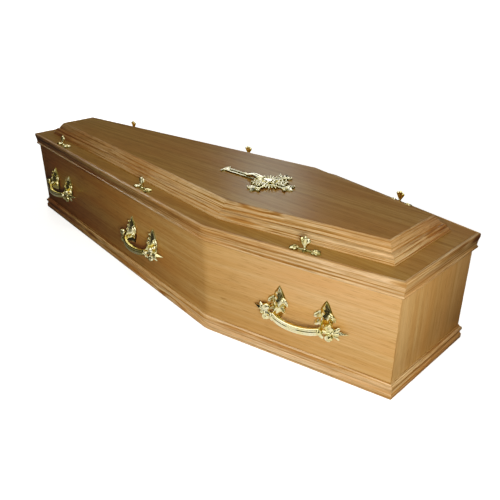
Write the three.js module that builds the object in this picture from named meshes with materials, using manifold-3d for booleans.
import * as THREE from 'three';
import { mergeVertices } from 'three/addons/utils/BufferGeometryUtils.js';
import Module from 'manifold-3d';

// Oak veneered coffin with a raised lid, bow handles, lid screws and a crucifix.
// Millimetres, Z up. X runs along the coffin with the head end at +X, and the
// origin is on the floor under the middle of the box.

const wasm = await Module();
wasm.setup();

// Box, outside sizes
const boxLength = 1880;
const headWidth = 377;
const shoulderWidth = 612;
const footWidth = 314;
const shoulderFromHead = 585;
const sideHeight = 335;
const boardThickness = 18;
const baseThickness = 18;
const shoulderBendRadius = 110;
const bendSteps = 3;

// Gaps left in the joints
const fitGap = 0.3;
const mitreGap = 0.2;
const lidClearance = 0.6;

// Plinth moulding round the foot of the box
const plinthHeight = 46;
const plinthProjection = 10.5;

// Lid
const lidThickness = 18;
const lidMouldingHeight = 47.5;
const lidMouldingProjection = 11.5;
const raisedInset = 54;
const raisedHeight = 48;
const raisedRun = 41;
const raisedSeat = 18;
const raisedLip = 3;
const panelThickness = 9;

// Handles: a bow between two leafy lugs, each with a finial pointing outwards
const handleHeight = 156;
const headHandleFromHead = 262;
const middleHandleFromHead = 961;
const footHandleFromFoot = 227;
const lugSpacing = 144;
const lugReach = 38;
const lugThickness = 15;
const leafHeight = 74;
const leafHalfWidth = 17;
const crocketReach = 31;
const crocketDrop = 15;
const crocketHalfWidth = 9;
const bossRadius = 9.5;
const finialLength = 72;
const finialHalfWidth = 9;
const finialTipReach = 14;
const lobeReach = 17;
const lobeHalfWidth = 7;
const bowReach = 54;
const bowDrop = 10;
const gripHeight = 19;
const gripDepth = 13;

// Lid screws and their plates
const headScrewFromHead = 267;
const middleScrewFromHead = 956;
const footScrewFromFoot = 265;
const screwInset = 11;
const screwPlateLength = 98;
const screwPlateThickness = 4;
const screwBossRadius = 8;
const screwLobeReach = 12;
const screwLeafHalfWidth = 6;
const screwHeight = 42;
const screwStemHeight = 9;
const screwStemRadius = 4;
const petalHalfWidth = 6.4;
const sidePetalShare = 0.92;
const petalLean = 0.42;

// Crucifix on the raised panel
const crucifixLength = 304;
const crucifixSpan = 188;
const crucifixShaft = 21;
const crucifixThickness = 5;
const crucifixRail = 3.5;
const crucifixRecess = 2;
const crossingFromTop = 98;
const crucifixFromHead = 492;
const crucifixOffset = -20;
const endLength = 34;
const endHalfWidth = 27;
const endLeafHalfWidth = 9;
const footFlareLength = 16;
const footFlareHalfWidth = 24;
const rayLength = 66;
const rayHalfWidth = 5;
const rayTurns = [0.36, 0.79, 1.21];
const corpusHeight = 128;

// Colours from the photograph
const veneer = { color: 0xb98a4e, roughness: 0.45, metalness: 0 };
const moulding = { color: 0xc99a5c, roughness: 0.45, metalness: 0 };
const brass = { color: 0xd9b548, roughness: 0.2, metalness: 1 };

const coffin = new THREE.Group();

function addMesh(name, geometry, finish) {
  const mesh = new THREE.Mesh(geometry, new THREE.MeshStandardMaterial(finish));
  mesh.name = name;
  coffin.add(mesh);
  return mesh;
}

// Solids for joining and cutting
function solid(geometry) {
  const bare = geometry.clone();
  bare.deleteAttribute('normal');
  bare.deleteAttribute('uv');
  const merged = mergeVertices(bare, 1e-4);
  const indices = merged.index.array;
  const kept = [];
  for (let i = 0; i < indices.length; i += 3) {
    const [a, b, c] = indices.slice(i, i + 3);
    if (a !== b && b !== c && c !== a) kept.push(a, b, c);
  }
  return new wasm.Manifold(new wasm.Mesh({
    numProp: 3,
    vertProperties: new Float32Array(merged.attributes.position.array),
    triVerts: new Uint32Array(kept),
  }));
}

function joined(geometries) {
  return geometries.map(solid).reduce((whole, piece) => whole.add(piece));
}

function geometryOf(whole) {
  const mesh = whole.getMesh();
  const geometry = new THREE.BufferGeometry();
  geometry.setAttribute('position', new THREE.BufferAttribute(mesh.vertProperties, 3));
  geometry.setIndex(new THREE.BufferAttribute(mesh.triVerts, 1));
  geometry.computeVertexNormals();
  return geometry;
}

function box(width, depth, height, x, y, z) {
  return new THREE.BoxGeometry(width, depth, height).translate(x, y, z);
}

// Cuts away everything below a level
function cutBelow(whole, level) {
  const size = 2 * boxLength;
  return whole.subtract(solid(box(size, size, size, 0, 0, level - size / 2)));
}

// Plan of the box, counterclockwise from the foot end of the left side.
// Each edge has a direction and an inward normal.
const headX = boxLength / 2;
const shoulderX = headX - shoulderFromHead;
const corners = [
  new THREE.Vector2(-headX, -footWidth / 2),
  new THREE.Vector2(shoulderX, -shoulderWidth / 2),
  new THREE.Vector2(headX, -headWidth / 2),
  new THREE.Vector2(headX, headWidth / 2),
  new THREE.Vector2(shoulderX, shoulderWidth / 2),
  new THREE.Vector2(-headX, footWidth / 2),
];
const count = corners.length;
const edges = corners.map((corner, i) => {
  const along = corners[(i + 1) % count].clone().sub(corner).normalize();
  return { along, inward: new THREE.Vector2(-along.y, along.x) };
});

// A station is a point on the outside line of the box with its inward direction,
// lengthened at a mitre so that every inset line stays parallel to its edge.
function mitre(i) {
  const before = edges[(i + count - 1) % count].inward;
  const after = edges[i % count].inward;
  const inward = before.clone().add(after).divideScalar(1 + before.dot(after));
  return { point: corners[i % count].clone(), inward };
}

function bend(i) {
  const { point, inward } = mitre(i);
  const centre = point.addScaledVector(inward, shoulderBendRadius);
  const start = edges[i - 1].inward.angle();
  const turn = edges[i].inward.angle() - start;
  return Array.from({ length: bendSteps + 1 }, (_, step) => {
    const angle = start + (turn * step) / bendSteps;
    const direction = new THREE.Vector2(Math.cos(angle), Math.sin(angle));
    const onLine = centre.clone().addScaledVector(direction, -shoulderBendRadius);
    return { point: onLine, inward: direction };
  });
}

// Mitred ends stand back a little from the mitre line
function trimmed(stations, firstEdge, lastEdge) {
  stations[0].point.addScaledVector(edges[firstEdge].along, mitreGap);
  stations[stations.length - 1].point.addScaledVector(edges[lastEdge].along, -mitreGap);
  return stations;
}

const runs = {
  left: () => trimmed([mitre(0), ...bend(1), mitre(2)], 0, 1),
  head: () => trimmed([mitre(2), mitre(3)], 2, 2),
  right: () => trimmed([mitre(3), ...bend(4), mitre(5)], 3, 4),
  foot: () => trimmed([mitre(5), mitre(0)], 5, 5),
};

// Runs a profile, drawn with its inset along x and its height along y, round stations
function sweep(profile, stations, curveSegments = 3) {
  const steps = stations.length - 1;
  const options = { steps, depth: steps, bevelEnabled: false, curveSegments };
  const geometry = new THREE.ExtrudeGeometry(profile, options);
  const position = geometry.attributes.position;
  for (let i = 0; i < position.count; i += 1) {
    const station = stations[Math.round(position.getZ(i))];
    const place = station.point.clone().addScaledVector(station.inward, position.getX(i));
    position.setXYZ(i, place.x, place.y, position.getY(i));
  }
  return geometry;
}

function plate(stations, inset, bottom, thickness) {
  const outline = stations.map(({ point, inward }) => point.clone().addScaledVector(inward, inset));
  const options = { depth: thickness, bevelEnabled: false };
  return new THREE.ExtrudeGeometry(new THREE.Shape(outline), options).translate(0, 0, bottom);
}

const roundedPlan = [mitre(0), ...bend(1), mitre(2), mitre(3), ...bend(4), mitre(5)];
const sharpPlan = corners.map((_, i) => mitre(i));

// Box boards, mitred at the four corners, with the base between them
function addBox() {
  const board = new THREE.Shape();
  board.moveTo(0, 0);
  board.lineTo(boardThickness, 0);
  board.lineTo(boardThickness, sideHeight);
  board.lineTo(0, sideHeight);
  addMesh('left_side_board', sweep(board, runs.left()), veneer);
  addMesh('right_side_board', sweep(board, runs.right()), veneer);
  addMesh('head_board', sweep(board, runs.head()), veneer);
  addMesh('foot_board', sweep(board, runs.foot()), veneer);
  addMesh('base_board', plate(roundedPlan, boardThickness + fitGap, 0, baseThickness), veneer);
}

// Plinth profile: a small cove, a bead, a hollow and a square foot
function plinthProfile() {
  const out = -plinthProjection;
  const profile = new THREE.Shape();
  profile.moveTo(-fitGap, 0);
  profile.lineTo(-fitGap, plinthHeight);
  profile.lineTo(out * 0.25, plinthHeight);
  profile.quadraticCurveTo(out * 0.3, plinthHeight * 0.87, out * 0.62, plinthHeight * 0.86);
  profile.bezierCurveTo(
    out * 1.12, plinthHeight * 0.84,
    out * 1.12, plinthHeight * 0.6,
    out * 0.64, plinthHeight * 0.57,
  );
  profile.lineTo(out * 0.62, plinthHeight * 0.5);
  profile.quadraticCurveTo(out * 0.66, plinthHeight * 0.36, out, plinthHeight * 0.33);
  profile.lineTo(out, 0);
  return profile;
}

// Lid edge profile: a rounded arris, a long shallow cove and a bead below
function lidEdgeProfile(top) {
  const out = -lidMouldingProjection;
  const down = (share) => top - share * lidMouldingHeight;
  const profile = new THREE.Shape();
  profile.moveTo(-lidClearance - fitGap, down(1));
  profile.lineTo(-lidClearance - fitGap, top);
  profile.lineTo(out * 0.42, top);
  profile.quadraticCurveTo(out * 0.98, top, out, down(0.15));
  profile.lineTo(out, down(0.27));
  profile.quadraticCurveTo(out * 0.68, down(0.5), out * 0.64, down(0.83));
  profile.bezierCurveTo(out * 1.02, down(0.84), out * 1.02, down(0.99), out * 0.64, down(1));
  return profile;
}

// Raised lid profile: a lip and ovolo, a bead, a ledge and a long slope up to the panel
function raisedProfile(bottom) {
  const up = (share) => bottom + share * raisedHeight;
  const seatTop = bottom + raisedHeight - panelThickness;
  const at = (share) => raisedInset + share * raisedRun;
  const profile = new THREE.Shape();
  profile.moveTo(at(0), bottom);
  profile.lineTo(at(1) + raisedLip + raisedSeat, bottom);
  profile.lineTo(at(1) + raisedLip + raisedSeat, seatTop);
  profile.lineTo(at(1) + raisedLip, seatTop);
  profile.lineTo(at(1) + raisedLip, up(1));
  profile.lineTo(at(1.02), up(1));
  profile.lineTo(at(0.98), up(0.985));
  profile.quadraticCurveTo(at(0.77), up(0.86), at(0.57), up(0.55));
  profile.lineTo(at(0.56), up(0.49));
  profile.lineTo(at(0.36), up(0.48));
  profile.bezierCurveTo(at(0.26), up(0.49), at(0.24), up(0.33), at(0.25), up(0.32));
  profile.quadraticCurveTo(at(0.09), up(0.29), at(0.06), up(0.11));
  profile.lineTo(at(0.02), up(0.1));
  profile.lineTo(at(0), up(0.08));
  return profile;
}

function addMouldings() {
  const lidTop = sideHeight + lidThickness;
  for (const [side, run] of Object.entries(runs)) {
    addMesh(`plinth_${side}`, sweep(plinthProfile(), run()), moulding);
    addMesh(`lid_moulding_${side}`, sweep(lidEdgeProfile(lidTop), run()), moulding);
  }
  const lengths = ['foot_left', 'head_left', 'head_end', 'head_right', 'foot_right', 'foot_end'];
  lengths.forEach((name, i) => {
    const run = trimmed([mitre(i), mitre((i + 1) % count)], i, i);
    addMesh(`raised_moulding_${name}`, sweep(raisedProfile(lidTop), run, 2), moulding);
  });
}

function addLid() {
  const lidTop = sideHeight + lidThickness;
  addMesh('lid_board', plate(roundedPlan, -lidClearance, sideHeight, lidThickness), veneer);
  const panelInset = raisedInset + raisedRun + raisedLip + fitGap;
  const panelBottom = lidTop + raisedHeight - panelThickness;
  addMesh('raised_panel', plate(sharpPlan, panelInset, panelBottom, panelThickness), veneer);
}

// A flat-sided leaf or spindle along +Y. Its profile gives shares of the length
// with the half-width there, and depth is its thickness for each unit of width.
function spindle(length, profile, sides = 4, depth = 1) {
  const points = profile.map(([share, half]) => new THREE.Vector2(half, share * length));
  return new THREE.LatheGeometry(points, sides).scale(1, 1, depth);
}

const leafProfile = [[0, 0], [0.32, 1], [0.66, 0.68], [1, 0]];
const budProfile = [[0, 0], [0.4, 1], [1, 0]];

// Lays a shape modelled along +Y, with its face to +Z, from one point towards another
function lay(geometry, from, to, facing) {
  const along = to.clone().sub(from).normalize();
  const across = along.clone().cross(facing).normalize();
  const face = across.clone().cross(along);
  return geometry.applyMatrix4(new THREE.Matrix4().makeBasis(across, along, face).setPosition(from));
}

const at = (x, y, z) => new THREE.Vector3(x, y, z);
const outwards = at(0, 0, 1);

function leaf(from, to, halfWidth, depth, profile = budProfile) {
  const shape = profile.map(([share, half]) => [share, half * halfWidth]);
  return lay(spindle(from.distanceTo(to), shape, 4, depth), from, to, outwards);
}

function limb(from, to, startRadius, endRadius, sides = 5) {
  const length = from.distanceTo(to);
  const shape = new THREE.CylinderGeometry(endRadius, startRadius, length, sides);
  return lay(shape.translate(0, length / 2, 0), from, to, outwards);
}

// Handle in its own frame: x along the side, y up and z out from the side.
// The web carries the bow and runs up into the tall leaf, with a ridge down its middle.
function lugWeb() {
  const foot = -0.35 * leafHeight;
  const crown = 0.7 * leafHeight;
  const web = new THREE.Shape();
  web.moveTo(foot, 0);
  web.quadraticCurveTo(foot * 0.8, lugReach * 0.55, -0.1 * leafHeight, lugReach * 0.95);
  web.lineTo(0.05 * leafHeight, lugReach);
  web.quadraticCurveTo(0.16 * leafHeight, lugReach * 0.36, crown, lugReach * 0.16);
  web.lineTo(crown, 0);
  const options = { depth: lugThickness, steps: 2, bevelEnabled: false, curveSegments: 2 };
  const geometry = new THREE.ExtrudeGeometry(web, options).translate(0, 0, -lugThickness / 2);
  const position = geometry.attributes.position;
  for (let i = 0; i < position.count; i += 1) {
    const off = Math.abs(position.getZ(i)) / lugThickness;
    position.setY(i, position.getY(i) * (1 - 0.5 * off));
  }
  return geometry.applyMatrix4(new THREE.Matrix4().makeBasis(at(0, 1, 0), at(0, 0, 1), at(1, 0, 0)));
}

// The boss in front hides the joint between the web and the bow
function lugPieces() {
  const root = 0.12 * leafHeight;
  const lowerTip = -0.5 * leafHeight;
  const crocketRoot = 0.55 * leafHeight;
  const crocketTip = crocketRoot - crocketDrop;
  const pieces = [
    lugWeb(),
    leaf(at(0, root, 0), at(0, leafHeight, 2), leafHalfWidth, 0.85, leafProfile),
    leaf(at(0, 0, 1), at(0, lowerTip, 1), leafHalfWidth * 0.75, 0.8),
    new THREE.SphereGeometry(bossRadius, 5, 3).translate(0, 0, lugReach),
  ];
  for (const hand of [-1, 1]) {
    const tip = at(hand * crocketReach, crocketTip, 4);
    pieces.push(leaf(at(hand * 2, crocketRoot, 1), tip, crocketHalfWidth, 0.9));
  }
  return pieces;
}

// The finials carry on from the ends of the bow and fall back towards the wood
function finialPieces(hand) {
  const along = (share, height) => at(
    share * hand * finialLength,
    height,
    lugReach + share * (finialTipReach - lugReach),
  );
  const stem = [[0, 0], [0.06, 0.9], [0.3, 0.5], [0.6, 1], [0.78, 0.5], [1, 0]];
  const pieces = [leaf(along(0, 0), along(1, 3), finialHalfWidth, 0.9, stem)];
  for (const side of [-1, 1]) {
    const lobeTip = along(0.66, side * lobeReach);
    pieces.push(leaf(along(0.24, 0), lobeTip, lobeHalfWidth, 0.9));
  }
  return pieces;
}

// Grip section: flat towards the wood, three reeds on the face
function gripSection() {
  const half = gripHeight / 2;
  const back = 0.4 * gripDepth;
  const front = 0.6 * gripDepth;
  const section = new THREE.Shape();
  section.moveTo(-half * 0.8, back);
  section.lineTo(-half, -front * 0.3);
  section.lineTo(-half * 0.66, -front * 0.9);
  section.lineTo(-half * 0.34, -front * 0.6);
  section.lineTo(0, -front);
  section.lineTo(half * 0.34, -front * 0.6);
  section.lineTo(half * 0.66, -front * 0.9);
  section.lineTo(half, -front * 0.3);
  section.lineTo(half * 0.8, back);
  return section;
}

function bow() {
  const half = lugSpacing / 2 - 2;
  const swing = lugReach + (bowReach - lugReach) * 4 / 3;
  const path = new THREE.CubicBezierCurve3(
    at(-half, 0, lugReach),
    at(-half * 0.55, -bowDrop, swing),
    at(half * 0.55, -bowDrop, swing),
    at(half, 0, lugReach),
  );
  return new THREE.ExtrudeGeometry(gripSection(), { steps: 5, extrudePath: path });
}

function handleGeometry() {
  const pieces = [bow()];
  for (const hand of [-1, 1]) {
    const lug = (hand * lugSpacing) / 2;
    for (const piece of lugPieces()) pieces.push(piece.translate(lug, 0, 0));
    for (const piece of finialPieces(hand)) pieces.push(piece.translate(lug + hand * 4, 0, 0));
  }
  return geometryOf(cutBelow(joined(pieces), fitGap));
}

// Lid screw plate: a bar with a boss in the middle and leafy ends, x along the lid edge
function screwPlateGeometry() {
  const half = screwPlateLength / 2;
  const bossShape = [screwBossRadius * 0.9, screwBossRadius * 1.1, screwPlateThickness, 6];
  const boss = new THREE.CylinderGeometry(...bossShape).rotateX(Math.PI / 2);
  const pieces = [boss.translate(0, 0, screwPlateThickness / 2)];
  for (const hand of [-1, 1]) {
    pieces.push(leaf(at(hand * 3, 0, 0), at(hand * half, 0, 0), screwLeafHalfWidth, 0.9));
    for (const side of [-1, 1]) {
      const tip = at(hand * half * 0.72, side * screwLobeReach, 0);
      pieces.push(leaf(at(hand * half * 0.45, 0, 0), tip, screwLeafHalfWidth * 0.8, 0.9));
    }
  }
  return geometryOf(cutBelow(joined(pieces), fitGap));
}

// Lid screw: three petals in a fan on a short stem, z up and x along the lid edge
function screwGeometry() {
  const bottom = screwPlateThickness + fitGap;
  const petal = [[0, 0], [0.1, 0.45], [0.8, 1], [1, 0]];
  const hub = at(0, 0, bottom + screwStemHeight / 2);
  const stemShape = [screwStemRadius, screwStemRadius * 1.4, screwStemHeight, 6];
  const stem = new THREE.CylinderGeometry(...stemShape).rotateX(Math.PI / 2);
  const pieces = [stem.translate(0, 0, bottom + screwStemHeight / 2)];
  const shape = petal.map(([share, half]) => [share, half * petalHalfWidth]);
  for (const lean of [-petalLean, 0, petalLean]) {
    const length = (screwHeight - hub.z) * (lean === 0 ? 1 : sidePetalShare);
    const tip = at(Math.sin(lean), 0, Math.cos(lean)).multiplyScalar(length).add(hub);
    pieces.push(lay(spindle(length, shape, 4, 0.75), hub, tip, at(0, -1, 0)));
  }
  return geometryOf(joined(pieces));
}

// Crucifix in its own frame: x towards the head, y across and z up, origin at the crossing.
// A leafy end has a middle leaf with a leaf curling out on each side.
function crossEnd(tip) {
  const out = tip.clone().normalize();
  const across = at(-out.y, out.x, 0);
  const root = tip.clone().addScaledVector(out, -endLength);
  const pieces = [leaf(root, tip, endLeafHalfWidth, 0.8)];
  for (const hand of [-1, 1]) {
    const side = tip.clone().addScaledVector(out, -0.45 * endLength);
    side.addScaledVector(across, hand * endHalfWidth);
    pieces.push(leaf(root, side, endLeafHalfWidth, 0.8));
  }
  return pieces;
}

// The lower end spreads into a small flared foot
function crossFoot(foot) {
  const flare = new THREE.Shape();
  flare.moveTo(foot, -footFlareHalfWidth);
  flare.lineTo(foot + footFlareLength, -crucifixShaft / 2);
  flare.lineTo(foot + footFlareLength, crucifixShaft / 2);
  flare.lineTo(foot, footFlareHalfWidth);
  return new THREE.ExtrudeGeometry(flare, { depth: crucifixThickness, bevelEnabled: false });
}

// Rays in the four angles of the cross, longest in the middle of each
function crossRays() {
  const rays = [];
  for (let quarter = 0; quarter < 4; quarter += 1) {
    for (const turn of rayTurns) {
      const angle = turn + (quarter * Math.PI) / 2;
      const length = rayLength * (0.8 + 0.2 * Math.sin(2 * turn));
      const tip = at(Math.cos(angle), Math.sin(angle), 0).multiplyScalar(length);
      rays.push(leaf(at(0, 0, 0), tip, rayHalfWidth, 0.7));
    }
  }
  return rays;
}

function crossPieces() {
  const top = crossingFromTop;
  const foot = crossingFromTop - crucifixLength;
  const arm = crucifixSpan / 2;
  const deep = crucifixThickness;
  const shaftTop = top - 0.6 * endLength;
  const armSpan = 2 * (arm - 0.6 * endLength);
  return [
    box(shaftTop - foot, crucifixShaft, deep, (shaftTop + foot) / 2, 0, deep / 2),
    box(crucifixShaft, armSpan, deep, 0, 0, deep / 2),
    crossFoot(foot),
    ...crossEnd(at(top, 0, 0)),
    ...crossEnd(at(0, arm, 0)),
    ...crossEnd(at(0, -arm, 0)),
    ...crossRays(),
  ];
}

// Figure on the cross, laid out on textbook proportions in shares of its height
function corpusPieces() {
  const lift = crucifixThickness - crucifixRecess;
  const on = (x, y, z) => at(x, y, z).multiplyScalar(corpusHeight).add(at(0, 0, lift));
  const thick = (share) => share * corpusHeight;
  const pelvis = on(-0.3, 0, 0.04);
  const neck = on(0.06, 0, 0.05);
  const torso = [[0, 0], [0.05, 0.06], [0.35, 0.06], [0.85, 0.1], [1, 0]];
  const torsoShape = torso.map(([share, half]) => [share, thick(half)]);
  const head = new THREE.SphereGeometry(thick(0.055), 6, 4).scale(1.25, 1, 1.05);
  const headCentre = on(0.13, 0.015, 0.085);
  const pieces = [
    lay(spindle(pelvis.distanceTo(neck), torsoShape, 6, 0.62), pelvis, neck, outwards),
    head.translate(headCentre.x, headCentre.y, headCentre.z),
    limb(on(0.02, 0, 0.05), on(0.12, 0.01, 0.075), thick(0.035), thick(0.03)),
    limb(on(-0.38, 0, 0.045), on(-0.24, 0, 0.045), thick(0.095), thick(0.075), 6),
  ];
  for (const hand of [-1, 1]) {
    const shoulder = on(0.03, hand * 0.07, 0.05);
    const elbow = on(0.05, hand * 0.25, 0.03);
    const wrist = on(0.09, hand * 0.43, 0.012);
    const hip = on(-0.32, hand * 0.04, 0.04);
    const knee = on(-0.56, hand * 0.035, 0.075);
    const ankle = on(-0.8, hand * 0.018, 0.02);
    pieces.push(limb(shoulder, elbow, thick(0.036), thick(0.028), 4));
    pieces.push(limb(elbow, wrist, thick(0.028), thick(0.02), 4));
    pieces.push(limb(hip, knee, thick(0.052), thick(0.038)));
    pieces.push(limb(knee, ankle, thick(0.038), thick(0.024)));
  }
  return pieces;
}

// Shaft and arms are sunk between raised rails, except at the ends
function crucifixGeometry() {
  const cut = 2 * crucifixRecess;
  const inner = crucifixShaft - 2 * crucifixRail;
  const head = crossingFromTop - endLength;
  const foot = crossingFromTop - crucifixLength + footFlareLength;
  const span = crucifixSpan - 2 * endLength;
  const top = crucifixThickness;
  const cross = joined(crossPieces())
    .subtract(solid(box(head - foot, inner, cut, (head + foot) / 2, 0, top)))
    .subtract(solid(box(inner, span, cut, 0, 0, top)));
  return geometryOf(cutBelow(cross.add(joined(corpusPieces())), 0));
}

// Sets a fitting on the side or lid edge: x along the edge, y and z as asked
function fasten(mesh, fromHead, hand, inset, height, upright) {
  const x = headX - fromHead;
  const edge = x > shoulderX ? 1 : 0;
  const { along, inward } = edges[edge];
  const start = corners[edge];
  const point = start.clone().addScaledVector(along, (x - start.x) / along.x);
  point.addScaledVector(inward, inset);
  const face = at(-inward.x, hand * inward.y, 0);
  const run = at(-hand * along.x, along.y, 0);
  const up = at(0, 0, 1);
  const basis = new THREE.Matrix4();
  if (upright) basis.makeBasis(run, face.negate(), up);
  else basis.makeBasis(run, up, face);
  mesh.quaternion.setFromRotationMatrix(basis);
  mesh.position.set(point.x, -hand * point.y, height);
}

function addFittings() {
  const lidTop = sideHeight + lidThickness;
  const handlePlaces = {
    head: headHandleFromHead, middle: middleHandleFromHead, foot: boxLength - footHandleFromFoot,
  };
  const screwPlaces = {
    head: headScrewFromHead, middle: middleScrewFromHead, foot: boxLength - footScrewFromFoot,
  };
  for (const [side, hand] of [['left', -1], ['right', 1]]) {
    for (const [place, fromHead] of Object.entries(handlePlaces)) {
      const handle = addMesh(`handle_${side}_${place}`, handleGeometry(), brass);
      fasten(handle, fromHead, hand, 0, handleHeight, false);
    }
    for (const [place, fromHead] of Object.entries(screwPlaces)) {
      const backing = addMesh(`screw_plate_${side}_${place}`, screwPlateGeometry(), brass);
      fasten(backing, fromHead, hand, screwInset, lidTop, true);
      const screw = addMesh(`lid_screw_${side}_${place}`, screwGeometry(), brass);
      fasten(screw, fromHead, hand, screwInset, lidTop, true);
    }
  }
  const crucifix = addMesh('crucifix', crucifixGeometry(), brass);
  const crossingX = headX - crucifixFromHead - crossingFromTop;
  crucifix.position.set(crossingX, crucifixOffset, lidTop + raisedHeight + fitGap);
}

addBox();
addMouldings();
addLid();
addFittings();

export default coffin;
